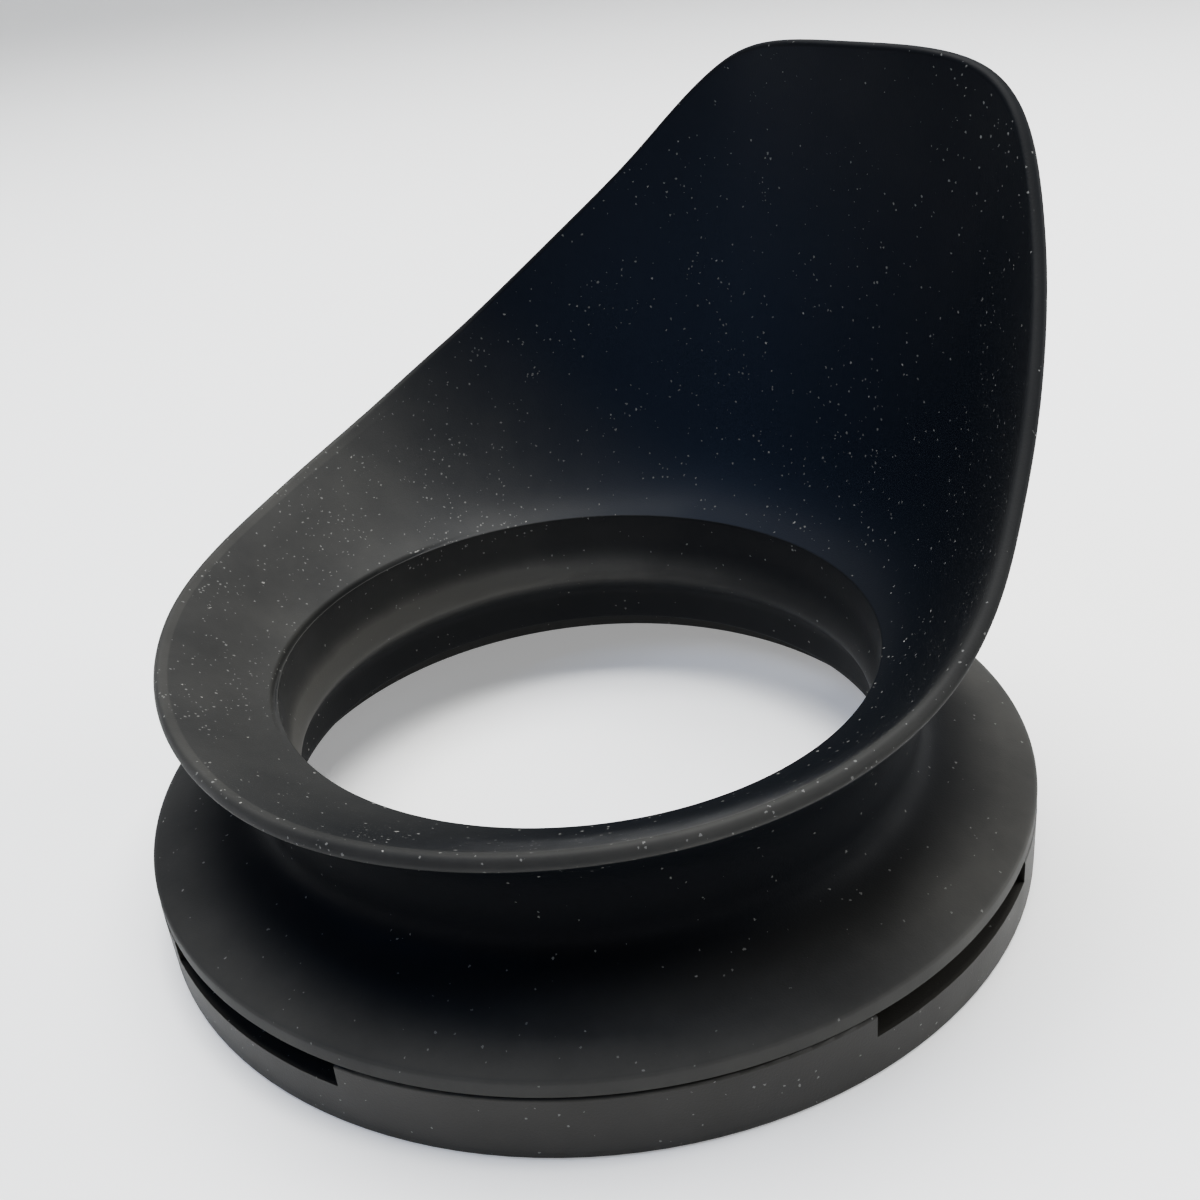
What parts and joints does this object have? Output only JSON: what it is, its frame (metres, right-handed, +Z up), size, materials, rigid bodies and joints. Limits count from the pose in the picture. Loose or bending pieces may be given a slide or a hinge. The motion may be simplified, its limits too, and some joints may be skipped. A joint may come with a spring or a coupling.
{
  "type": "viewfinder eyecup",
  "caption": "Round rubber viewfinder eyecup with one tall side wing and a flared lip, turning on a low clip-on mounting ring with windows in its skirt.",
  "frame": {"origin": "on the bore axis at the underside of the mounting ring, the centre of the model's base", "axes": "+Z up along the bore axis towards the eye; +Y towards the tall wing; +X to the side"},
  "size_m": [0.0682, 0.068, 0.0549],
  "materials": {
    "black_rubber": "matte moulded, dusty",
    "carrier_plastic": "satin moulded",
    "ring_plastic": "fine matte moulded",
    "washer_plastic": "slippery natural",
    "spring_steel": "phosphated spring steel"
  },
  "bodies": {
    "mount": {"mounting_ring": "ring_plastic", "slip_washer": "washer_plastic"},
    "cup": {"eyecup": "black_rubber", "carrier_ring": "carrier_plastic", "retaining_clip": "spring_steel"}
  },
  "joints": [
    {"name": "cup_turn", "type": "hinge", "parent": "mount", "child": "cup", "pos_m": [0, 0, 0.005], "axis": [0, 0, 1], "continuous": true}
  ]
}
